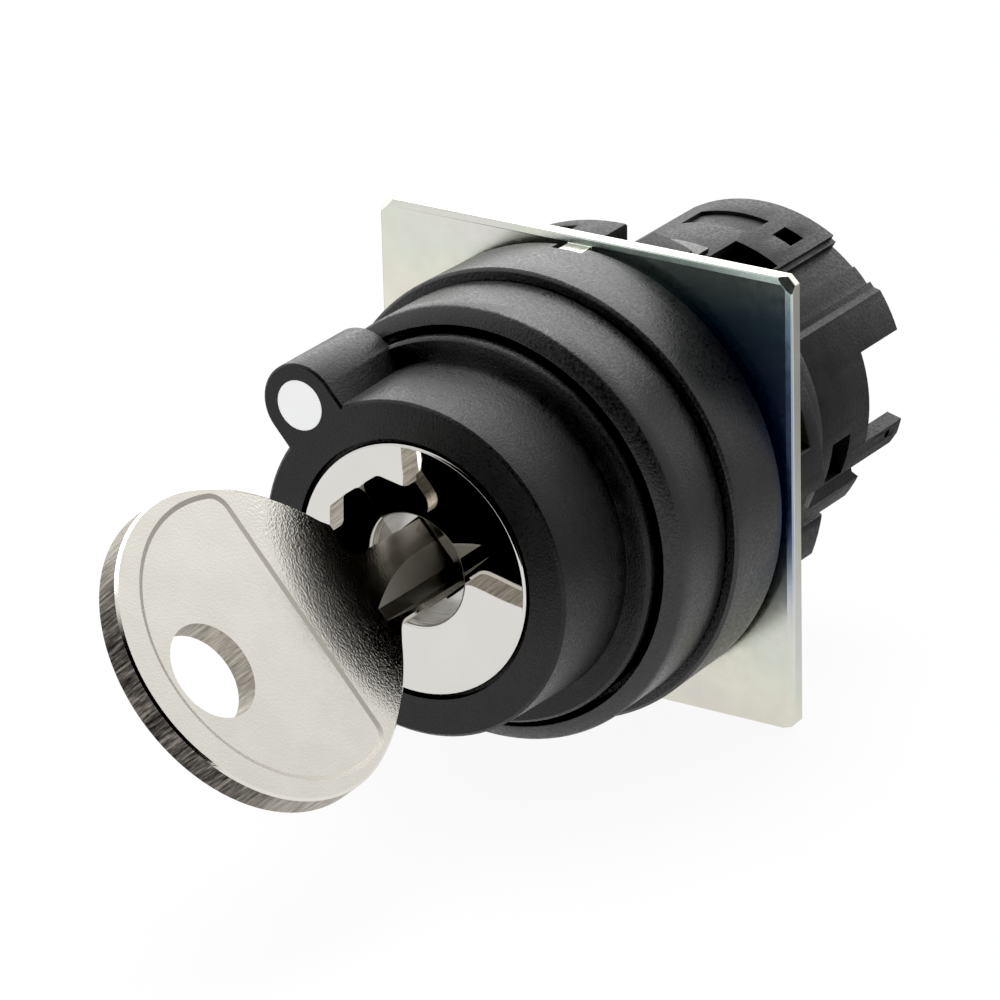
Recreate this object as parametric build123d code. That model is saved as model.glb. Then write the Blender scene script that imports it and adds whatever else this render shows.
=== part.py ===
from build123d import *
import os
from math import cos, radians, sin

os.makedirs("parts", exist_ok=True)

# Selector key switch, 22 mm class. Millimetres. Y runs along the switch axis
# towards the rear, Z is up, and Y = 0 is the front face of the square lock plate.

# ---- driving dimensions -------------------------------------------------
POINTER = 131.0          # pointer and key direction, degrees from +X towards +Z
RUN = 0.05               # radial clearance of a running fit
GAP = 0.03               # clearance between faces that stay together
RIM = 0.2                # bevel on the moulded rims
FAR = 23.0               # past the rear end, for cuts that run out

# lock plate
PLATE_SIDE = 30.0
PLATE_T = 1.0
PLATE_CLIP = 0.55        # cut off each corner, along each side
PLATE_EDGE = 0.12        # steep bevel round the front
PLATE_ROLL = 0.35        # width of the shallow roll inside that bevel
ROLL_DEPTH = 0.05
CORNER_PRESS = 0.42      # width of the pressed corner facets
CORNER_DEPTH = 0.5
LUG_W = 1.6              # lug in the bore, for the slot along the sleeve

# sleeve and bezel
THREAD_R = 11.0
THREAD_ROOT_R = 10.35
THREAD_FROM = 0.6
THREAD_PITCH = 1.5
THREAD_TURNS = 6
SLEEVE_BORE = 9.3
SLEEVE_END = 10.8
FLANGE_R = 14.8
FLANGE_FRONT = -6.25
FLANGE_REAR = -0.8
NOTCH = (13.9, -1.55)    # locating notch in the flange: inner radius, front end
NOTCH_AT = 90.5
BEZEL_R = 14.1
BEZEL_FRONT = -12.0
BEZEL_OPENING_R = 12.97
BEZEL_FOOT = (10.3, -8.6)
GASKET = (13.9, 11.4)
SEAL_AT = (11.5, -9.3)
SEAL_R = 0.6

# knob
KNOB_R = 10.8
KNOB_FRONT = -19.53
KNOB_FLANGE_R = 12.5
KNOB_FLANGE_FRONT = -12.75
KNOB_REAR = -10.6
KNOB_BORE = 9.7
KNOB_WALL = (-17.47, -16.9)   # cross wall that the plug head bears on
LOBE_R = 2.65
LOBE_CENTRE = 12.05
LOBE_REAR = -12.55
DOT_R = 1.6
DOT_DEPTH = 1.0

# lock
FACE_R = 8.09
FACE_FRONT = -19.58
FACE_REAR = -18.9
KEYHOLE_R = 3.62
KEYHOLE_FLOOR = -17.2
PLUG_R = 6.0
PLUG_END = 5.0
HEAD_R = 7.2
HEAD_REAR = -17.5
CLIP_GROOVE = (3.4, 4.2)
CLIP_R = (5.25, 7.4)
TAIL = 5.0               # square tail that drives the cam rotor
TAIL_END = 9.4
WAFER_Y = [-14.6, -12.2, -9.8, -7.4, -5.0]
WAFER_T = 0.7
WAFER_REACH = 6.2        # half length of a wafer
WAFER_HALF = 2.75
HOUSING_R = 9.2
HOUSING_FRONT = -16.5
HOUSING_REAR = 3.0
CHAMBER_REAR = -3.0

# key
KEY_T = 1.8
BLADE_W = 4.8
BLADE_TIP = -3.2
TIP_TAPER = 1.3
TIP_HALF = 0.7
BOW_R = 10.2
BOW_CENTRE = (-35.7, 1.1)   # along Y, across the key
BOW_RIM = 0.15
PANEL_CENTRE = -34.5
PANEL_ROUND = 9.4
PANEL_CHORD = -30.95     # straight side of the sunk panel
PANEL_DEPTH = 0.1
PANEL_SLOPE = 0.3        # width of the panel's sloping border
RING_HOLE = -40.2
RING_HOLE_R = 3.05
EAR_S = 6.0              # reach of the stop ear from the axis
EAR_Y = -19.66           # its face, just clear of the lock face
EAR_STEP = 0.45
GROOVE_DEPTH = 0.55
GROOVE_TOP = (-2.12, 0.75)
GROOVE_FLOOR = (-1.8, -0.95)
GROOVE_FROM = -19.2      # full depth from here to the tip
CUTTER_R = 33.0
BITTING = (0.7, 0.4, 0.9, 0.5, 0.7)

# lock ring
RING_R = 14.4
RING_FRONT = 1.05
RING_REAR = 5.0

# rear body
BODY_R = 10.2
BODY_FRONT = 10.9
BODY_SIDE_END = 17.1
BODY_END = 21.7
BODY_BORE = 8.4
PANEL_R = 10.47          # raised panel on top
FLANK_R = 9.75
STEP_R = FLANK_R + 0.15
SHELL_R = 10.52          # fins and latch prongs
RIB_R = 10.9
RIB_END = 17.5
LEDGE_END = 16.5
PRONG_BORE = 9.45
PRONG_AT = 18.5          # below the horizontal, on each side
PRONG_EYE = 20.1
WINDOW = (12.6, 14.8)
END_PLATE = (15.4, 16.9)

# indexing and switching
CAM_R = 7.6
CAM_FRONT = 5.4
CAM_CENTRE = 10.5
CAM_THROW = 2.12         # swing of the swash face at the plunger radius
PLUNGER_AT = 5.5
PLUNGER_R = 1.6
PLUNGER_LENGTH = 8.5
COLLAR = (1.0, 1.7)      # plunger collar, from the tip
STEM_R = 1.95
LIFT_GAP = 0.24          # between the cam face and the plunger tips
BALL_R = 0.8
BALL_AT = 7.9
BALL_Y = 6.9
BALL_ANGLE = 221.0

KEY_PLANE = Plane(
    origin=(0, 0, 0),
    x_dir=(0, 1, 0),
    z_dir=(sin(radians(POINTER)), 0, -cos(radians(POINTER))),
)


# ---- helpers --------------------------------------------------------------
def turned(points):
    """Solid of revolution about Y from (radius, y) points."""
    return revolve(make_face(Polyline(*points, close=True)), Axis.Y, 360)


def tube(r_out, r_in, y0, y1):
    return turned([(r_in, y0), (r_out, y0), (r_out, y1), (r_in, y1)])


def rod(r, y0, y1):
    return turned([(0, y0), (r, y0), (r, y1), (0, y1)])


def at(angle, shape):
    """Turn a shape built along +X to an angle measured from +X towards +Z."""
    return Rot(0, -angle, 0) * shape


def sector(r_in, r_out, y0, y1, a0, a1):
    """Part of a tube between the angles a0 and a1."""
    profile = make_face(Polyline((r_in, y0), (r_out, y0), (r_out, y1), (r_in, y1), close=True))
    return at(a1, revolve(profile, Axis.Y, a1 - a0))


def block(r0, r1, y0, y1, width, angle):
    """Box standing radially at an angle."""
    box = Box(r1 - r0, y1 - y0, width)
    return at(angle, Pos((r0 + r1) / 2, (y0 + y1) / 2, 0) * box)


def polar(r, angle):
    return (r * cos(radians(angle)), r * sin(radians(angle)))


def wedge(r_in, y0, y1, near, far):
    """Filled ramp between two (radius, angle) corners, seen along the axis."""
    outline = Polyline(
        polar(r_in, near[1]), polar(*near), polar(*far), polar(r_in, far[1]), close=True)
    return Pos(0, y0, 0) * (Plane.XZ * extrude(make_face(outline), y0 - y1))


def on_key(y0, y1, s0, s1, n0, n1):
    """Box in the key's own frame: along the key, across it, through it."""
    box = Box(y1 - y0, s1 - s0, n1 - n0)
    return KEY_PLANE.location * (Pos((y0 + y1) / 2, (s0 + s1) / 2, (n0 + n1) / 2) * box)


def coil(radius, wire_r, length, turns):
    """Compression spring along +Z."""
    path = Helix(length / turns, length, radius)
    start = Plane(origin=path @ 0, z_dir=path % 0)
    return sweep(start * Circle(wire_r), path=path)


# ---- key ------------------------------------------------------------------
def key():
    half = BLADE_W / 2
    face = KEY_T / 2
    body = Pos(0, 0, -face) * extrude(key_outline(), KEY_T)
    rims = body.edges().filter_by_position(Axis.X, -60, -26)
    rims = rims.group_by(Axis.Z)
    body = chamfer(rims[0] + rims[-1], BOW_RIM)
    blade = make_face(Polyline(
        (-22.5, -half),
        (BLADE_TIP - TIP_TAPER, -half),
        (BLADE_TIP, -TIP_HALF),
        (BLADE_TIP, TIP_HALF),
        (BLADE_TIP - TIP_TAPER, half),
        (-22.5, half),
        close=True,
    ))
    body += extrude(blade, face, both=True)
    sunk = key_panel()
    body -= sunk
    body -= mirror(sunk, Plane.XY)
    body -= Pos(RING_HOLE, BOW_CENTRE[1]) * Cylinder(RING_HOLE_R, 2 * KEY_T)
    # The ear is milled thinner, and the cutter leaves a rounded corner.
    step = Pos(-21.5, 5.45) * Rectangle(6.0, 6.0)
    step = fillet(step.vertices().sort_by_distance((-24.5, 2.45, 0))[0], 1.1)
    body -= Pos(0, 0, face) * extrude(step, EAR_STEP, both=True)
    return KEY_PLANE.location * (body - key_groove() - key_bitting())


def key_outline():
    """Round bow and the neck, which carries a stop ear that meets the lock face."""
    cy, cs = BOW_CENTRE
    half = BLADE_W / 2
    reach = 3.2
    rise = (BOW_R ** 2 - reach ** 2) ** 0.5
    upper = TangentArc((cy + reach, cs + rise), (-24.5, 4.85), tangent=(rise, -reach))
    lower = TangentArc((cy + reach, cs - rise), (-25.0, -3.45), tangent=(rise, reach))
    back = ThreePointArc(upper @ 0, (cy - BOW_R, cs), lower @ 0)
    valley = (-22.9, 4.5)
    shoulder = (-21.4, EAR_S)
    stop = (EAR_Y, EAR_S)
    throat = (-24.0, -half)
    neck = Polyline(
        upper @ 1,
        (-24.1, 4.5),
        valley,
        shoulder,
        stop,
        (EAR_Y, half),
        (-22.0, half),
        (-22.0, -half),
        throat,
        lower @ 1,
    )
    outline = make_face(upper + back + lower + neck)
    for corner, radius in ((valley, 1.0), (shoulder, 0.7), (stop, 0.5), (throat, 1.2)):
        outline = fillet(outline.vertices().sort_by_distance((*corner, 0))[0], radius)
    return outline


def key_panel():
    """Sunk panel in one side of the bow, with a sloping border."""
    across = BOW_CENTRE[1]
    chord = Pos(PANEL_CHORD - PANEL_ROUND, across) * Rectangle(2 * PANEL_ROUND, 3 * PANEL_ROUND)
    panel = Pos(PANEL_CENTRE, across) * Circle(PANEL_ROUND) & chord
    panel = fillet(panel.vertices(), 1.4)
    outer = Pos(0, 0, KEY_T / 2 + PANEL_DEPTH) * offset(panel, PANEL_SLOPE)
    inner = Pos(0, 0, KEY_T / 2 - PANEL_DEPTH) * offset(panel, -PANEL_SLOPE)
    return loft([outer, inner], ruled=True)


def key_groove():
    """Profile groove along the blade, with the pointed run-out that a disc cutter leaves."""
    face = KEY_T / 2
    floor = face - GROOVE_DEPTH
    low, high = GROOVE_TOP
    profile = Polyline(
        (low, face), (GROOVE_FLOOR[0], floor), (GROOVE_FLOOR[1], floor), (high, face), close=True)
    lid = Polyline((low, face), (high, face), (high, face + 1), (low, face + 1), close=True)
    section = Plane(origin=(GROOVE_FROM, 0, 0), x_dir=(0, 1, 0), z_dir=(1, 0, 0))
    cut = section * (make_face(profile) + make_face(lid))
    straight = extrude(cut, BLADE_TIP + 1 - GROOVE_FROM)
    pivot = Axis((GROOVE_FROM, 0, floor + CUTTER_R), (0, 1, 0))
    return straight + revolve(cut, pivot, 20)


def key_bitting():
    """Code cuts in the lower edge, and a warding groove on the other side."""
    half = BLADE_W / 2
    flat, mouth, below = 0.35, 1.1, 3.0
    cuts = []
    for y, depth in zip(WAFER_Y, BITTING):
        floor = depth - half
        notch = Polyline(
            (y - mouth, -below), (y - flat, floor), (y + flat, floor), (y + mouth, -below), close=True)
        cuts.append(extrude(make_face(notch), 2, both=True))
    cuts.append(Pos(-13.5, 1.3, -KEY_T / 2) * Box(24, 0.9, 0.7))
    return Compound(children=cuts)


# ---- lock -----------------------------------------------------------------
def lock_face():
    inner, outer = 0.12, 0.14
    return turned([
        (KEYHOLE_R, FACE_FRONT + inner),
        (KEYHOLE_R + inner, FACE_FRONT),
        (FACE_R - outer, FACE_FRONT),
        (FACE_R, FACE_FRONT + outer),
        (FACE_R, FACE_REAR),
        (KEYHOLE_R, FACE_REAR),
    ])


def lock_plug():
    slot = 0.12
    body = turned([
        (0, FACE_REAR + 0.02),
        (HEAD_R, FACE_REAR + 0.02),
        (HEAD_R, HEAD_REAR),
        (PLUG_R, HEAD_REAR),
        (PLUG_R, CLIP_GROOVE[0]),
        (5.2, CLIP_GROOVE[0]),
        (5.2, CLIP_GROOVE[1]),
        (PLUG_R, CLIP_GROOVE[1]),
        (PLUG_R, PLUG_END),
        (0, PLUG_END),
    ])
    body -= rod(KEYHOLE_R, -20, KEYHOLE_FLOOR)
    half = BLADE_W / 2 + slot
    thick = KEY_T / 2 + slot
    body -= on_key(KEYHOLE_FLOOR - 0.1, BLADE_TIP + 0.6, -half, half, -thick, thick)
    deep = WAFER_HALF + 0.15
    for y in WAFER_Y:
        body -= on_key(y - 0.42, y + 0.42, -7, 7, -deep, deep)
    for side in (0, 180):
        body -= block(6.5, 8, -19.5, HEAD_REAR, 20, POINTER + side)
    tail = Pos(0, (PLUG_END + TAIL_END) / 2, 0) * Box(TAIL, TAIL_END - PLUG_END, TAIL)
    return body + at(POINTER, tail)


def wafers():
    half = BLADE_W / 2 + 0.2
    plates = []
    for y in WAFER_Y:
        plate = on_key(
            y - WAFER_T / 2, y + WAFER_T / 2, -WAFER_REACH, WAFER_REACH, -WAFER_HALF, WAFER_HALF)
        plate &= rod(PLUG_R - RUN, y - 1, y + 1)
        plate -= on_key(y - 1, y + 1, -half, half, -1.1, 1.1)
        plates.append(plate)
    return Compound(children=[p.solid() for p in plates])


def plug_clip():
    y0, y1 = CLIP_GROOVE
    return sector(*CLIP_R, y0 + RUN, y1 - RUN, POINTER + 30, POINTER + 330)


def lock_housing():
    body = turned([
        (PLUG_R + RUN, HOUSING_FRONT),
        (HOUSING_R, HOUSING_FRONT),
        (HOUSING_R, HOUSING_REAR),
        (PLUG_R + RUN, HOUSING_REAR),
    ])
    for quarter in range(4):
        body -= block(5, 7.3, HOUSING_FRONT - 1, CHAMBER_REAR, 6.0, POINTER + 90 * quarter)
    return body


# ---- knob -----------------------------------------------------------------
def selector_knob():
    hub = PLUG_R + 0.15
    seat = FACE_R + 0.26
    floor = FACE_REAR + 0.02
    body = turned([
        (seat, KNOB_FRONT),
        (KNOB_R - RIM, KNOB_FRONT),
        (KNOB_R, KNOB_FRONT + RIM),
        (KNOB_R + RIM, KNOB_FLANGE_FRONT - 0.1),
        (KNOB_FLANGE_R - RIM, KNOB_FLANGE_FRONT),
        (KNOB_FLANGE_R, KNOB_FLANGE_FRONT + 0.25),
        (KNOB_FLANGE_R, KNOB_REAR),
        (KNOB_BORE, KNOB_REAR),
        (KNOB_BORE, KNOB_WALL[1]),
        (hub, KNOB_WALL[1]),
        (hub, KNOB_WALL[0]),
        (HEAD_R + GAP, KNOB_WALL[0]),
        (HEAD_R + GAP, floor),
        (seat, floor),
    ])
    for side in (0, 180):
        body += block(6.53, 7.6, -18.85, HEAD_REAR, 5.6, POINTER + side)
    lobe = Pos(LOBE_CENTRE, 0) * Circle(LOBE_R) + Pos(LOBE_CENTRE - 2, 0) * Rectangle(4, 2 * LOBE_R)
    lobe = Plane.XZ * extrude(lobe, KNOB_FRONT - LOBE_REAR)
    lobe = Pos(0, KNOB_FRONT, 0) * lobe
    front = lobe.edges().group_by(Axis.Y)[0]
    lobe = chamfer(front, 0.15)
    lobe -= rod(KNOB_R - 0.4, -20, -10)
    body += at(POINTER, lobe)
    pocket = Pos(LOBE_CENTRE, 0, 0) * rod(DOT_R + 0.02, KNOB_FRONT - 1, KNOB_FRONT + DOT_DEPTH)
    return body - at(POINTER, pocket)


def pointer_dot():
    dot = rod(DOT_R, KNOB_FRONT + GAP, KNOB_FRONT + DOT_DEPTH - 0.02)
    return at(POINTER, Pos(LOBE_CENTRE, 0, 0) * dot)


# ---- bezel and sleeve -----------------------------------------------------
def knob_seal():
    return revolve(Pos(*SEAL_AT) * Circle(SEAL_R), Axis.Y, 360)


def bezel():
    rear = FLANGE_FRONT - 0.05
    foot, floor = BEZEL_FOOT
    return turned([
        (BEZEL_OPENING_R, BEZEL_FRONT),
        (BEZEL_R - 0.12, BEZEL_FRONT + 0.62),
        (BEZEL_R, BEZEL_FRONT + 0.78),
        (BEZEL_R - 0.05, rear),
        (foot, rear),
        (foot, floor),
        (BEZEL_OPENING_R, floor),
    ])


def thread_ridges():
    """Outline of the thread along the sleeve, as (radius, y) points."""
    crest, flank = 0.15, 0.6
    points = []
    for turn in range(THREAD_TURNS):
        start = THREAD_FROM + turn * THREAD_PITCH
        end = start + THREAD_PITCH - crest
        points += [(THREAD_R, start), (THREAD_ROOT_R, start + flank), (THREAD_ROOT_R, end - flank),
                   (THREAD_R, end)]
    return points


def body_sleeve():
    body = turned([
        (SLEEVE_BORE, FLANGE_FRONT),
        (FLANGE_R - RIM, FLANGE_FRONT),
        (FLANGE_R, FLANGE_FRONT + RIM),
        (FLANGE_R - 0.12, FLANGE_REAR),
        (THREAD_R, FLANGE_REAR),
        *thread_ridges(),
        (THREAD_R, SLEEVE_END - 0.4),
        (THREAD_R - 0.4, SLEEVE_END),
        (SLEEVE_BORE, SLEEVE_END),
    ])
    body -= block(NOTCH[0], 16, NOTCH[1], 0, 2.2, NOTCH_AT)
    body -= block(10.2, 12, 0, 8.5, LUG_W + 0.7, 90)
    # Short tongue over the rear body's top panel.
    body += sector(PANEL_R + 0.1, THREAD_R - 0.06, SLEEVE_END - 0.6, SLEEVE_END + 1.1, 80, 104)
    return body


def panel_gasket():
    return tube(*GASKET, FLANGE_REAR + 0.02, -0.02)


# ---- lock plate and ring --------------------------------------------------
def stepped_slab(side, steps):
    """Square slab round the Y axis; steps are (inset, y) pairs from front to back."""
    sections = []
    for inset, y in steps:
        width = side - 2 * inset
        sections.append(Pos(0, y, 0) * (Plane.XZ * Rectangle(width, width)))
    return loft(sections, ruled=True)


def lock_plate():
    bevel_end = ROLL_DEPTH + PLATE_EDGE
    plate = stepped_slab(PLATE_SIDE, [
        (PLATE_ROLL + PLATE_EDGE, 0),
        (PLATE_EDGE, ROLL_DEPTH),
        (0, bevel_end),
        (0, PLATE_T),
    ])
    # The same slab turned by 45 degrees clips the corners and gives them pressed facets.
    diagonal = 2 ** 0.5 * (PLATE_SIDE - PLATE_CLIP)
    clip = stepped_slab(diagonal, [(CORNER_PRESS, 0), (0, CORNER_DEPTH), (0, PLATE_T)])
    plate &= Rot(0, 45, 0) * clip
    plate -= rod(THREAD_R + 0.3, -1, PLATE_T + 1)
    plate += block(THREAD_R - 0.4, THREAD_R + 0.5, 0, PLATE_T, LUG_W, 90)
    # Locating tab, pressed forward into the notch in the flange.
    return plate + block(NOTCH[0] + 0.15, 14.5, NOTCH[1] + 0.25, 0.5, 1.7, NOTCH_AT)


def lock_ring():
    bore = THREAD_R + RUN
    body = turned([
        (bore, RING_FRONT),
        (RING_R - 0.3, RING_FRONT),
        (RING_R, RING_FRONT + 0.3),
        (RING_R, RING_REAR - 0.15),
        (RING_R - 0.15, RING_REAR),
        (bore, RING_REAR),
    ])
    # Wrench notches: two through each quarter, and two that stop short of the rear face.
    for quarter in range(4):
        turn = 90 * quarter
        body -= sector(12.5, 16, 0, 6, turn - 9, turn - 1)
        body -= sector(12.5, 16, 0, 6, turn - 29, turn - 20.5)
        body -= sector(12.9, 16, 0, 3.6, turn + 10.5, turn + 20)
        body -= sector(12.9, 16, 0, 3.6, turn + 32, turn + 41.5)
    return body


# ---- rear body ------------------------------------------------------------
def rear_body():
    body = tube(BODY_R, BODY_BORE, BODY_FRONT, BODY_END)
    body += tube(SLEEVE_BORE - RUN, BODY_BORE, 9.2, BODY_FRONT)
    body += sector(BODY_BORE, PANEL_R, BODY_FRONT, BODY_END, 60, 120)
    for side in (1, -1):
        body = rear_flank(body, side)
    # Sides and bottom are shorter than the top, the fins and the latch prongs.
    for start, end in ((-14, 19.5), (160.5, 194), (203.5, 336.5)):
        body -= sector(5, 12, BODY_SIDE_END, FAR, start, end)
    body = rear_prong(body, -PRONG_AT, -1)
    body = rear_prong(body, 180 + PRONG_AT, 1)
    # Top panel: latch slot at the front edge, square eye and blank label recess.
    body -= sector(5, 12, BODY_FRONT + 0.2, 15.0, 61, 79)
    body -= sector(5, 12, 17.7, 19.3, 65, 73)
    body -= sector(PANEL_R - 0.27, 12, 16.6, 19.1, 79, 107)
    return body


def rear_flank(body, side):
    """One side: a flank sunk beside the top panel, a step up to the outer shell, and a rib."""
    turn = 90 - 90 * side
    near, far = sorted((turn + side * 58, turn + side * 39))
    body -= sector(FLANK_R, 12, 9, FAR, near, far)
    near, far = sorted((turn + side * 47, turn + side * 39))
    body += sector(BODY_BORE, STEP_R, BODY_FRONT, BODY_END, near, far)
    near, far = sorted((turn + side * 34.5, turn - side * 23))
    body += sector(BODY_BORE, SHELL_R, BODY_FRONT, BODY_END, near, far)
    body += wedge(9, BODY_FRONT, BODY_END, (STEP_R, turn + side * 39), (SHELL_R, turn + side * 34.5))
    # Ledge that slopes out to the rib beside the latch prong.
    body += wedge(9, BODY_FRONT, LEDGE_END, (BODY_R, turn - side * 22.5), (RIB_R, turn - side * 27.5))
    near, far = sorted((turn - side * 27.5, turn - side * 37))
    return body + sector(9, RIB_R, BODY_FRONT, RIB_END, near, far)


def rear_prong(body, mid, side):
    """Thins the prong, with an eye and a bevelled corner, and opens a window at its root."""
    near, far = sorted((mid - 7, mid + 7))
    body -= sector(5, PRONG_BORE, BODY_SIDE_END - 1.2, FAR, near, far)
    body -= at(mid - 1.5 * side, Pos(9.9, PRONG_EYE, 0) * (Rot(0, 90, 0) * Cylinder(0.3, 3)))
    body -= at(mid + 4.6 * side, Pos(10, BODY_END + 0.05, 0) * (Rot(45, 0, 0) * Box(3, 0.9, 0.9)))
    near, far = sorted((mid - 12.3 * side, mid + 3.5 * side))
    return body - sector(5, 12, *WINDOW, near, far)


def end_plate():
    y0, y1 = END_PLATE
    body = tube(BODY_BORE - RUN, STEM_R + RUN, y0, y1)
    for x in (-PLUNGER_AT, PLUNGER_AT):
        body -= Pos(x, 0, 0) * rod(PLUNGER_R + RUN, y0 - 1, y1 + 1)
    return body


# ---- indexing and switching ----------------------------------------------
def detent_ring():
    body = tube(SLEEVE_BORE - RUN, 8.0, CAM_FRONT + 0.2, 8.2)
    body -= tube(8.78, 7.5, 6.0, 7.8)
    for turn in (0, 90):
        pocket = Pos(BALL_AT + 0.1, BALL_Y, 0) * Sphere(BALL_R + 0.2)
        body -= at(BALL_ANGLE - turn, pocket)
    return body


def detent_ball():
    return at(BALL_ANGLE, Pos(BALL_AT, BALL_Y, 0) * Sphere(BALL_R))


def detent_spring():
    spring = Pos(4.6, BALL_Y, 0) * (Rot(0, 90, 0) * coil(0.6, 0.11, 2.35, 6))
    return at(BALL_ANGLE, spring)


def cam_rotor():
    reach = 12
    rise = CAM_THROW / PLUNGER_AT * reach
    body = rod(CAM_R, CAM_FRONT, 16)
    above = make_face(Polyline(
        (-reach, CAM_CENTRE - rise), (reach, CAM_CENTRE + rise), (reach, 30), (-reach, 30), close=True))
    above = extrude(above, reach, both=True)
    body -= at(-45, above)
    body += rod(STEM_R, CAM_FRONT, END_PLATE[1] - 0.3)
    body -= at(POINTER, Pos(0, 7, 0) * Box(TAIL + 0.1, TAIL + 0.1, TAIL + 0.1))
    bore = Rot(0, 90, 0) * Cylinder(BALL_R + RUN, 4.7)
    return body - at(BALL_ANGLE, Pos(6.9, BALL_Y, 0) * bore)


def plunger(side, lift):
    tip = CAM_CENTRE + lift + LIFT_GAP
    end = tip + PLUNGER_LENGTH
    body = turned([
        (0, tip + PLUNGER_R),
        (PLUNGER_R, tip + PLUNGER_R),
        (PLUNGER_R, end - 0.3),
        (PLUNGER_R - 0.3, end),
        (0, end),
    ])
    body += Pos(0, tip + PLUNGER_R, 0) * Sphere(PLUNGER_R) & rod(PLUNGER_R, tip - 1, tip + PLUNGER_R)
    body += tube(2.2, PLUNGER_R - 0.2, tip + COLLAR[0], tip + COLLAR[1])
    return Pos(side * PLUNGER_AT, 0, 0) * body


def plunger_spring(side, lift):
    start = CAM_CENTRE + lift + LIFT_GAP + COLLAR[1]
    room = END_PLATE[0] - start
    spring = coil(1.9, 0.12, room - 0.35, 4)
    return Pos(side * PLUNGER_AT, start + 0.17, 0) * (Rot(-90, 0, 0) * spring)


LIFT = CAM_THROW * cos(radians(45))
PARTS = {
    "key": key(),
    "lock_face": lock_face(),
    "lock_plug": lock_plug(),
    "wafers": wafers(),
    "plug_clip": plug_clip(),
    "lock_housing": lock_housing(),
    "selector_knob": selector_knob(),
    "pointer_dot": pointer_dot(),
    "knob_seal": knob_seal(),
    "bezel": bezel(),
    "body_sleeve": body_sleeve(),
    "panel_gasket": panel_gasket(),
    "lock_plate": lock_plate(),
    "lock_ring": lock_ring(),
    "rear_body": rear_body(),
    "end_plate": end_plate(),
    "detent_ring": detent_ring(),
    "detent_ball": detent_ball(),
    "detent_spring": detent_spring(),
    "cam_rotor": cam_rotor(),
    "plunger_left": plunger(-1, -LIFT),
    "plunger_right": plunger(1, LIFT),
    "plunger_spring_left": plunger_spring(-1, -LIFT),
    "plunger_spring_right": plunger_spring(1, LIFT),
}
for name, shape in PARTS.items():
    export_step(shape, f"parts/{name}.step")
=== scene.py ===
from math import cos, radians, sin

import bpy
from mathutils import Matrix, Vector


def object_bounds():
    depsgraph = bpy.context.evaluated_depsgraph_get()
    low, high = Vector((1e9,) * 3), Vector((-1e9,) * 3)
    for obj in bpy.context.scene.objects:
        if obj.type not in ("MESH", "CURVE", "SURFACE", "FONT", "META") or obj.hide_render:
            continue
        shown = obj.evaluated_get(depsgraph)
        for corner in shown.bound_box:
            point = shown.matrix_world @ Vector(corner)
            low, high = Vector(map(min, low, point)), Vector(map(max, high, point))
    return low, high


MM = 0.001

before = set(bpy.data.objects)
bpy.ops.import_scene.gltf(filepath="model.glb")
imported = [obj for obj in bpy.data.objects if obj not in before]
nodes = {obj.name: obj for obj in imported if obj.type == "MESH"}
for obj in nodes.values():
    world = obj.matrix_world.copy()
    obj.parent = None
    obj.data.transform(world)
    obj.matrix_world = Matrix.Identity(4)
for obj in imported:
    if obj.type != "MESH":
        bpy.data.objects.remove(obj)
cad_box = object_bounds()

# ---- camera ---------------------------------------------------------------
AZIMUTH = 33.40          # degrees to the right of straight ahead
ELEVATION = 22.58        # degrees
ROLL = 1.40              # degrees
SENSOR = 36              # mm
LENS = 247.2             # mm
DISTANCE = 428.1         # mm
TO_THE_LEFT = 5.35       # mm, how far the camera stands beside the line through the origin
TO_BELOW = 2.30          # mm
CLIP_START = 0.01        # m
CLIP_END = 20            # m


def view_axes(azimuth, elevation, roll):
    """Right, up and back directions of a camera that looks at the object."""
    a, e, r = radians(azimuth), radians(elevation), radians(roll)
    back = Vector((sin(a) * cos(e), -cos(a) * cos(e), sin(e)))
    right = Vector((cos(a), sin(a), 0))
    up = back.cross(right)
    return right * cos(r) - up * sin(r), right * sin(r) + up * cos(r), back


def make_camera():
    right, up, back = view_axes(AZIMUTH, ELEVATION, ROLL)
    data = bpy.data.cameras.new("camera")
    data.sensor_width = SENSOR
    data.lens = LENS
    data.clip_start = CLIP_START
    data.clip_end = CLIP_END
    camera = bpy.data.objects.new("camera", data)
    turn = Matrix((right, up, back)).transposed().to_4x4()
    place = (back * DISTANCE - right * TO_THE_LEFT - up * TO_BELOW) * MM
    camera.matrix_world = Matrix.Translation(place) @ turn
    bpy.context.scene.collection.objects.link(camera)
    bpy.context.scene.camera = camera


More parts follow.
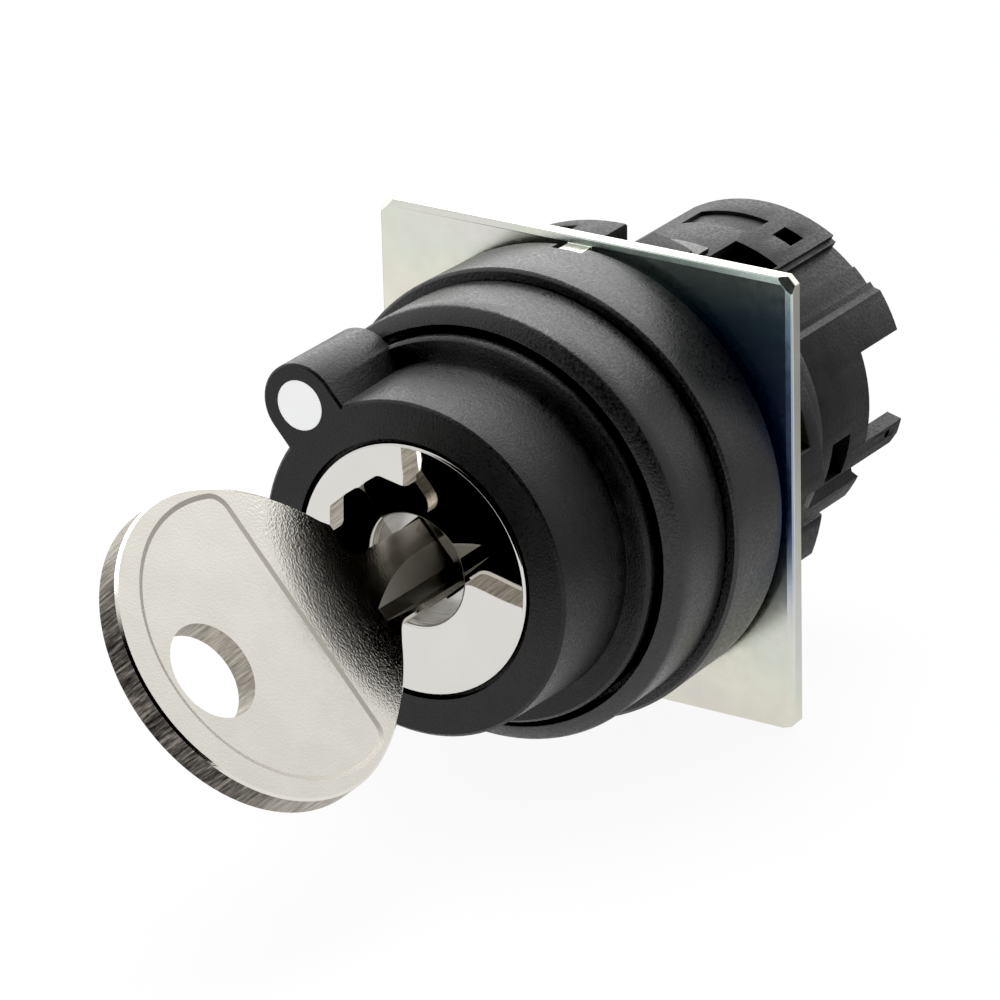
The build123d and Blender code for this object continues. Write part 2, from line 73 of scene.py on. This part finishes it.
# ---- a builder for node materials -------------------------------------------
class Mat:
    """One material: methods that return a socket add nodes, the others set the shader."""

    def __init__(self, name):
        self.material = bpy.data.materials.new(name)
        self.material.use_nodes = True
        self.tree = self.material.node_tree
        self.shader = self.tree.nodes["Principled BSDF"]
        coordinates = self.add("ShaderNodeTexCoord")
        self.place = coordinates.outputs["Object"]
        self.normal = coordinates.outputs["Normal"]

    def add(self, kind, **values):
        """A node of this kind. Values are properties of the node, or else its inputs."""
        node = self.tree.nodes.new(kind)
        for key, value in values.items():
            if hasattr(node, key):
                setattr(node, key, value)
            else:
                node.inputs[key.replace("_", " ")].default_value = value
        return node

    def link(self, a, b):
        self.tree.links.new(a, b)

    def feed(self, socket, value):
        """Gives a socket a value, a colour or another node's output."""
        if hasattr(value, "is_output"):
            self.link(value, socket)
        elif isinstance(value, tuple):
            socket.default_value = (*value, 1)
        else:
            socket.default_value = value

    def set(self, **values):
        for key, value in values.items():
            self.shader.inputs[key.replace("_", " ")].default_value = value

    def noise(self, size, detail=2.0, distortion=0.0):
        """Noise whose grains are about size metres across."""
        node = self.add("ShaderNodeTexNoise", Scale=1 / size, Detail=detail, Distortion=distortion)
        self.link(self.place, node.inputs["Vector"])
        return node.outputs["Fac"]

    def mottle(self, size, detail, low, high, edge=0.3):
        """Patches of low and high about size metres across, sharper as edge nears a half."""
        return self.ramp(self.noise(size, detail), (edge, low), (1 - edge, high))

    def math(self, operation, a, b=0.0):
        node = self.add("ShaderNodeMath", operation=operation)
        self.feed(node.inputs[0], a)
        self.feed(node.inputs[1], b)
        return node.outputs[0]

    def both(self, a, b):
        """Product of two masks or values."""
        return self.math("MULTIPLY", a, b)

    def invert(self, source):
        return self.math("SUBTRACT", 1.0, source)

    def along(self, source, direction):
        """Dot product of a vector with a fixed direction."""
        node = self.add("ShaderNodeVectorMath", operation="DOT_PRODUCT")
        self.link(source, node.inputs[0])
        node.inputs[1].default_value = direction
        return node.outputs["Value"]

    def fade(self, source, start, end):
        """0 before start, 1 after end, smooth between them."""
        node = self.add("ShaderNodeMapRange", interpolation_type="SMOOTHSTEP")
        self.link(source, node.inputs["Value"])
        node.inputs["From Min"].default_value = start
        node.inputs["From Max"].default_value = end
        return node.outputs[0]

    def ramp(self, source, *stops):
        """stops are (place, grey value or colour)."""
        node = self.add("ShaderNodeValToRGB")
        ramp = node.color_ramp
        while len(ramp.elements) < len(stops):
            ramp.elements.new(0.5)
        for element, (place, colour) in zip(ramp.elements, stops):
            element.position = place
            element.color = (*colour, 1) if isinstance(colour, tuple) else (colour, colour, colour, 1)
        self.link(source, node.inputs["Fac"])
        return node.outputs["Color"]

    def mix(self, factor, a, b):
        """Colour a where factor is 0, b where it is 1."""
        node = self.add("ShaderNodeMix", data_type="RGBA")
        self.feed(node.inputs[0], factor)
        self.feed(node.inputs[6], a)
        self.feed(node.inputs[7], b)
        return node.outputs[2]

    def colour(self, source):
        self.link(source, self.shader.inputs["Base Color"])

    def rough(self, source):
        self.link(source, self.shader.inputs["Roughness"])

    def bump(self, *layers):
        """layers are (height source, depth in metres), finest last."""
        normal = None
        for source, depth in layers:
            node = self.add("ShaderNodeBump", Distance=depth, Strength=1.0)
            self.link(source, node.inputs["Height"])
            if normal:
                self.link(normal, node.inputs["Normal"])
            normal = node.outputs["Normal"]
        self.link(normal, self.shader.inputs["Normal"])


# ---- plain materials --------------------------------------------------------
MOULD_WAVES = 1.1 * MM         # faint sink waves under a plastic's grain
WAVE_DEPTH = 0.006 * MM


def black_plastic(name, tones, roughness, gloss, grain, relief):
    """Moulded black nylon: tones and roughness are (low, high), grain and relief are in metres."""
    m = Mat(name)
    m.colour(m.mottle(1.6 * MM, 3, *tones))
    m.rough(m.mottle(grain, 4, *roughness, edge=0.35))
    m.bump((m.noise(MOULD_WAVES, 2), WAVE_DEPTH), (m.noise(grain, 3), relief))
    m.set(Specular_IOR_Level=gloss)
    return m.material


def nickel(name, low, high, roughness):
    m = Mat(name)
    m.colour(m.mottle(2.5 * MM, 3, low, high, edge=0.35))
    m.rough(m.mottle(0.3 * MM, 3, roughness - 0.05, roughness + 0.05))
    m.bump((m.noise(0.16 * MM, 3), 0.004 * MM))
    m.set(Metallic=1.0)
    return m.material


def mirror():
    m = Mat("polished_face")
    m.colour(m.mottle(3 * MM, 2, (0.66, 0.645, 0.615), (0.68, 0.665, 0.635)))
    m.rough(m.mottle(0.8 * MM, 2, 0.02, 0.04))
    m.bump((m.noise(4 * MM, 1), 0.001 * MM))
    m.set(Metallic=1.0)
    return m.material


def steel(name, tone=(0.5, 0.5, 0.5), roughness=0.3):
    """Bare metal of any tone, with duller patches."""
    m = Mat(name)
    dull = tuple(0.8 * t for t in tone)
    m.colour(m.mottle(1.2 * MM, 3, dull, tone))
    m.rough(m.mottle(0.4 * MM, 3, roughness - 0.06, roughness + 0.06))
    m.bump((m.noise(0.2 * MM, 2), 0.002 * MM))
    m.set(Metallic=1.0)
    return m.material


def rubber():
    m = Mat("black_rubber")
    m.colour(m.mottle(1 * MM, 3, 0.008, 0.014))
    m.rough(m.mottle(0.5 * MM, 3, 0.62, 0.75))
    m.bump((m.noise(0.2 * MM, 3), 0.008 * MM))
    return m.material


def acetal():
    m = Mat("natural_acetal")
    m.colour(m.mottle(2 * MM, 3, (0.74, 0.72, 0.65), (0.80, 0.78, 0.72)))
    m.rough(m.mottle(0.5 * MM, 3, 0.38, 0.46))
    m.bump((m.noise(0.3 * MM, 3), 0.003 * MM))
    m.set(Subsurface_Weight=0.1, Subsurface_Radius=(0.001, 0.001, 0.0008))
    return m.material


def white_insert():
    """White plastic, with a painted glow of its own so that it stays the whitest thing on the knob."""
    m = Mat("white_insert")
    m.colour(m.mottle(1.5 * MM, 2, (0.92, 0.93, 0.94), (0.95, 0.955, 0.96)))
    m.rough(m.mottle(0.5 * MM, 2, 0.30, 0.36))
    m.bump((m.noise(0.6 * MM, 2), 0.002 * MM))
    m.set(Emission_Color=(1, 1, 1, 1), Emission_Strength=0.22)
    return m.material


# ---- the key's nickel -------------------------------------------------------
KEY_TURN = radians(131)                    # the key's wide direction, from the X axis
KEY_FACE = Vector((sin(KEY_TURN), 0, -cos(KEY_TURN)))
KEY_ACROSS = Vector((cos(KEY_TURN), 0, sin(KEY_TURN)))
KEY_LENGTH = Vector((0, 1, 0))

# How closely the surface faces the way that the key's flat faces do: 1 on them, 0 on the rim.
RIM_TO_FACE = (0.45, 0.60)
SLOPE_STARTS = (0.90, 0.93)                # the panel's sloping border
SLOPE_ENDS = (0.965, 0.985)
# Places, in metres.
CUT_TO_FACE = (0.86 * MM, 0.88 * MM)       # from the key's middle plane
CUTS_BEGIN = (-26.2 * MM, -26.0 * MM)
RIM_DARK_TO_PALE = (-44.5 * MM, -40 * MM)
GRAIN_GROWS = (-31.5 * MM, -27.5 * MM)

STREAK_WIDTH = 0.22 * MM
STREAK_STRETCH = 0.10                      # streaks run through the key's thickness
STREAK_DEPTH = 0.05 * MM
BOW_GRAIN = 0.22
NECK_GRAIN = 0.70                          # added to the bow's
GRAIN_DEPTH = 0.019 * MM
SLOPE_TONE = (0.56, 0.53, 0.47)
CUT_ROUGHNESS = (0.07, 0.07, 0.07)
SLOPE_ROUGHNESS = (0.5, 0.5, 0.5)
RIM_ROUGHNESS = (0.42, 0.42, 0.42)


def shear_streaks(m, length, depth):
    """Noise drawn out through the thickness, as a press leaves it on the rim."""
    place = m.add("ShaderNodeCombineXYZ")
    m.link(length, place.inputs[0])
    m.link(m.along(m.place, KEY_ACROSS), place.inputs[1])
    m.link(m.both(depth, STREAK_STRETCH), place.inputs[2])
    streaks = m.add("ShaderNodeTexNoise", Scale=1 / STREAK_WIDTH, Detail=4.0, Roughness=0.7)
    m.link(place.outputs[0], streaks.inputs["Vector"])
    return streaks.outputs["Fac"]


def rim_tone(m, streak, length):
    """Dark at the bow's far end, fading to beige."""
    dark = m.ramp(
        streak,
        (0.38, (0.012, 0.011, 0.010)),
        (0.52, (0.10, 0.09, 0.08)),
        (0.66, (0.30, 0.27, 0.24)),
    )
    pale = m.ramp(
        streak,
        (0.34, (0.20, 0.18, 0.15)),
        (0.50, (0.36, 0.33, 0.28)),
        (0.68, (0.52, 0.48, 0.42)),
    )
    return m.mix(m.fade(length, *RIM_DARK_TO_PALE), dark, pale)


def key_nickel():
    """Satin plated faces, a dark sheared rim with streaks across it, and polished milled cuts."""
    m = Mat("key_nickel")
    facing = m.math("ABSOLUTE", m.along(m.normal, KEY_FACE))
    depth = m.along(m.place, KEY_FACE)
    length = m.along(m.place, KEY_LENGTH)
    rim = m.invert(m.fade(facing, *RIM_TO_FACE))
    slope = m.both(m.fade(facing, *SLOPE_STARTS), m.invert(m.fade(facing, *SLOPE_ENDS)))
    below_face = m.invert(m.fade(m.math("ABSOLUTE", depth), *CUT_TO_FACE))
    milled = m.both(below_face, m.fade(length, *CUTS_BEGIN))
    streak = shear_streaks(m, length, depth)

    face = m.mottle(2.5 * MM, 3, (0.70, 0.675, 0.62), (0.73, 0.705, 0.65), edge=0.35)
    m.colour(m.mix(rim, m.mix(slope, face, SLOPE_TONE), rim_tone(m, streak, length)))

    satin = m.mottle(0.3 * MM, 3, 0.10, 0.15)
    smooth = m.mix(slope, m.mix(milled, satin, CUT_ROUGHNESS), SLOPE_ROUGHNESS)
    m.rough(m.mix(rim, smooth, RIM_ROUGHNESS))

    # The blasted grain is coarser towards the neck, and the milled cuts have none.
    strength = m.math("ADD", BOW_GRAIN, m.both(m.fade(length, *GRAIN_GROWS), NECK_GRAIN))
    grain = m.both(m.both(m.noise(0.15 * MM, 2), m.invert(milled)), strength)
    m.bump((m.both(streak, rim), STREAK_DEPTH), (grain, GRAIN_DEPTH))
    m.set(Metallic=1.0)
    return m.material


# ---- the plate's zinc -------------------------------------------------------
# The blue and teal patch towards the upper right corner is partly the passivation's own tint and partly a
# painted reflection, placed by position on the front faces.
TINT_REFLECTION_TOWARDS = Vector((0.75, 0, 0.66))    # the upper corner on the right
TINT_REFLECTION_FROM = (7 * MM, 13 * MM)             # along that direction
TINT_REFLECTION_WAVES = 4 * MM                       # how far its edge wanders
TINT_REFLECTION_SHARE = 0.85
NAVY_TO_TEAL = (9 * MM, 18.5 * MM)         # in height
TEAL_WAVES = 5 * MM
FRONT_FACING = (0.3, 0.9)
FORWARD = Vector((0, -1, 0))
UPWARD = Vector((0, 0, 1))


def cream_tone(m, broad):
    tint = m.ramp(
        broad,
        (0.3, (0.70, 0.66, 0.62)),
        (0.45, (0.74, 0.72, 0.62)),
        (0.55, (0.66, 0.69, 0.60)),
        (0.7, (0.69, 0.66, 0.66)),
    )
    return m.mix(m.mottle(1.4 * MM, 4, 0.0, 0.35, edge=0.35), tint, (0.62, 0.62, 0.54))


# The patch's colours: navy low down and teal higher up, partly the passivation's tint and partly painted
# reflection.
def tint_reflection_tone(m, broad):
    height = m.math("ADD", m.along(m.place, UPWARD), m.both(broad, TEAL_WAVES))
    return m.ramp(
        m.fade(height, *NAVY_TO_TEAL),
        (0.0, (0.08, 0.14, 0.36)),
        (0.5, (0.14, 0.30, 0.42)),
        (1.0, (0.55, 0.66, 0.60)),
    )


def passivated():
    """Zinc plate with a thin clear passivation: cream, with a blue and teal patch towards one corner that is
    partly the passivation's tint and partly painted reflection.
    """
    m = Mat("passivated_zinc")
    broad = m.noise(11 * MM, 2, distortion=0.6)
    speck = m.noise(0.11 * MM, 3)
    corner = m.math("ADD", m.along(m.place, TINT_REFLECTION_TOWARDS), m.both(broad, TINT_REFLECTION_WAVES))
    front = m.fade(m.along(m.normal, FORWARD), *FRONT_FACING)
    # The patch with its painted reflection goes on front faces only; within it the haze dulls the metal a
    # little in specks so that the painted colour shows.
    tint_reflection_mask = m.both(m.fade(corner, *TINT_REFLECTION_FROM), front)
    m.colour(m.mix(m.both(tint_reflection_mask, TINT_REFLECTION_SHARE), cream_tone(m, broad), tint_reflection_tone(m, broad)))
    haze = m.both(tint_reflection_mask, m.ramp(speck, (0.36, 0.02), (0.66, 0.16)))
    m.link(m.invert(haze), m.shader.inputs["Metallic"])
    m.rough(m.mottle(0.6 * MM, 3, 0.17, 0.26))
    m.bump((speck, 0.003 * MM))
    return m.material


# ---- finishes of the CAD nodes ----------------------------------------------
knob_black = black_plastic("knob_black_nylon", (0.004, 0.009), (0.26, 0.50), 0.35, 0.16 * MM, 0.032 * MM)
front_black = black_plastic("textured_black_nylon", (0.005, 0.010), (0.26, 0.50), 0.6, 0.18 * MM, 0.032 * MM)
rear_black = black_plastic("rear_black_nylon", (0.016, 0.026), (0.38, 0.60), 0.2, 0.2 * MM, 0.03 * MM)
FINISH = {
    "key": key_nickel(),
    "lock_face": mirror(),
    "lock_plug": nickel("plug_zinc", (0.5, 0.49, 0.47), (0.58, 0.57, 0.55), 0.22),
    "wafers": steel("wafer_brass", (0.72, 0.56, 0.30), 0.3),
    "plug_clip": steel("clip_steel", (0.4, 0.4, 0.41), 0.35),
    "lock_housing": steel("cast_zinc", (0.5, 0.5, 0.51), 0.45),
    "selector_knob": knob_black,
    "pointer_dot": white_insert(),
    "knob_seal": rubber(),
    "bezel": front_black,
    "body_sleeve": front_black,
    "panel_gasket": rubber(),
    "lock_plate": passivated(),
    "lock_ring": rear_black,
    "rear_body": rear_black,
    "end_plate": rear_black,
    "detent_ring": steel("ring_steel"),
    "detent_ball": steel("ball_steel", (0.7, 0.7, 0.7), 0.12),
    "detent_spring": steel("spring_steel"),
    "cam_rotor": acetal(),
    "plunger_left": acetal(),
    "plunger_right": acetal(),
    "plunger_spring_left": steel("coil_steel"),
    "plunger_spring_right": steel("coil_steel"),
}

# Widths of the broken edges. Pieces that aren't named keep the CAD's own edges.
EDGE = {
    "selector_knob": 0.14 * MM,
    "bezel": 0.14 * MM,
    "body_sleeve": 0.14 * MM,
    "rear_body": 0.1 * MM,
    "lock_ring": 0.12 * MM,
    "lock_plate": 0.06 * MM,
    "end_plate": 0.1 * MM,
    "lock_plug": 0.05 * MM,
    "lock_face": 0.06 * MM,
}
SHARP_ANGLE = 38               # degrees
EDGE_SEGMENTS = 3
WELD_DISTANCE = 1e-6           # m


def break_edges(node, width):
    weld = node.modifiers.new("weld", "WELD")
    weld.merge_threshold = WELD_DISTANCE
    bevel = node.modifiers.new("edge", "BEVEL")
    bevel.width = width
    bevel.segments = EDGE_SEGMENTS
    bevel.limit_method = "ANGLE"
    bevel.angle_limit = radians(SHARP_ANGLE)
    bevel.harden_normals = True


def finish_nodes():
    for name, node in nodes.items():
        node.data.materials.clear()
        node.data.materials.append(FINISH[name])
        if name in EDGE:
            break_edges(node, EDGE[name])


# ---- surroundings -----------------------------------------------------------
FLOOR_HALF = 4.0               # m
FLOOR_GAP = 0.02 * MM          # below the object
FLOOR_WHITE = 0.93             # as the camera sees it
FLOOR_LIGHT = (0.95, 0.28)     # as it lights the object, in front and behind
FLOOR_FADE = (-5 * MM, 45 * MM)
TOP_BOX_PLACE = (-0.10, 0.10, 0.42)
TOP_BOX_SIDE = 0.30
TOP_BOX_POWER = 1.2
BLACK_POINT = 0.004            # shadows this dark print as black, as on a contrasty product photograph
ROOM_LIGHT = 0.95
# (direction, half angle of the full patch, half angle where it ends, brightness)
PATCHES = [
    ((-0.42, 0.77, 0.44), 18, 62, 2.8),
    ((0.95, 0.25, 0.0), 25, 65, 0.62),
    ((0.47, -0.76, 0.44), 38, 56, 0.0),
]


def make_top_box():
    data = bpy.data.lights.new("top_box", "AREA")
    data.shape = "RECTANGLE"
    data.size = TOP_BOX_SIDE
    data.size_y = TOP_BOX_SIDE
    data.energy = TOP_BOX_POWER
    light = bpy.data.objects.new("top_box", data)
    light.location = TOP_BOX_PLACE
    direction = -Vector(TOP_BOX_PLACE)
    light.rotation_euler = direction.to_track_quat("-Z", "Y").to_euler()
    bpy.context.scene.collection.objects.link(light)


def floor_material():
    """Bright in front of the object and dim behind it, but always white to the camera."""
    m = Mat("pale_floor")
    m.colour(m.mottle(0.4, 2, 0.05, 0.06))
    m.rough(m.mottle(0.1, 2, 0.8, 0.9))
    m.set(Emission_Color=(1, 1, 1, 1), Specular_IOR_Level=0.0)
    depth = m.add("ShaderNodeSeparateXYZ")
    m.link(m.place, depth.inputs[0])
    fade = m.add("ShaderNodeMapRange")
    m.link(depth.outputs["Y"], fade.inputs["Value"])
    fade.inputs["From Min"].default_value, fade.inputs["From Max"].default_value = FLOOR_FADE
    fade.inputs["To Min"].default_value, fade.inputs["To Max"].default_value = FLOOR_LIGHT
    glow = m.add("ShaderNodeMix", data_type="FLOAT")
    m.feed(glow.inputs[0], m.add("ShaderNodeLightPath").outputs["Is Camera Ray"])
    m.feed(glow.inputs[2], fade.outputs[0])
    m.feed(glow.inputs[3], FLOOR_WHITE)
    m.link(glow.outputs[0], m.shader.inputs["Emission Strength"])
    return m.material


def make_floor():
    low = cad_box[0][2] - FLOOR_GAP
    half = FLOOR_HALF
    corners = [(-half, -half, low), (half, -half, low), (half, half, low), (-half, half, low)]
    mesh = bpy.data.meshes.new("floor")
    mesh.from_pydata(corners, [], [(0, 1, 2, 3)])
    floor = bpy.data.objects.new("floor", mesh)
    floor.data.materials.append(floor_material())
    bpy.context.scene.collection.objects.link(floor)


def patch_share(tree, aim, inner, outer):
    """1 within the inner angle of aim, 0 outside the outer one."""
    facing = tree.nodes.new("ShaderNodeVectorMath")
    facing.operation = "DOT_PRODUCT"
    facing.inputs[1].default_value = Vector(aim).normalized()
    direction = tree.nodes.new("ShaderNodeTexCoord").outputs["Generated"]
    tree.links.new(direction, facing.inputs[0])
    share = tree.nodes.new("ShaderNodeMapRange")
    share.interpolation_type = "SMOOTHSTEP"
    share.inputs["From Min"].default_value = cos(radians(outer))
    share.inputs["From Max"].default_value = cos(radians(inner))
    tree.links.new(facing.outputs["Value"], share.inputs["Value"])
    return share.outputs[0]


def make_world():
    """Studio walls: a bright wall behind on the left, a dimmer right side and a dark doorway in front."""
    world = bpy.data.worlds.new("studio")
    world.use_nodes = True
    tree = world.node_tree
    light = None
    for aim, inner, outer, brightness in PATCHES:
        mix = tree.nodes.new("ShaderNodeMix")
        mix.data_type = "FLOAT"
        mix.inputs[2].default_value = ROOM_LIGHT
        mix.inputs[3].default_value = brightness
        tree.links.new(patch_share(tree, aim, inner, outer), mix.inputs[0])
        if light:
            tree.links.new(light, mix.inputs[2])
        light = mix.outputs[0]
    background = tree.nodes["Background"]
    background.inputs["Color"].default_value = (1, 1, 1, 1)
    tree.links.new(light, background.inputs["Strength"])
    bpy.context.scene.world = world


def set_view():
    view = bpy.context.scene.view_settings
    view.view_transform = "Standard"
    view.look = "None"
    view.use_curve_mapping = True
    view.curve_mapping.black_level = (BLACK_POINT, BLACK_POINT, BLACK_POINT)
    view.curve_mapping.update()


finish_nodes()
make_camera()
make_floor()
make_world()
set_view()
make_top_box()
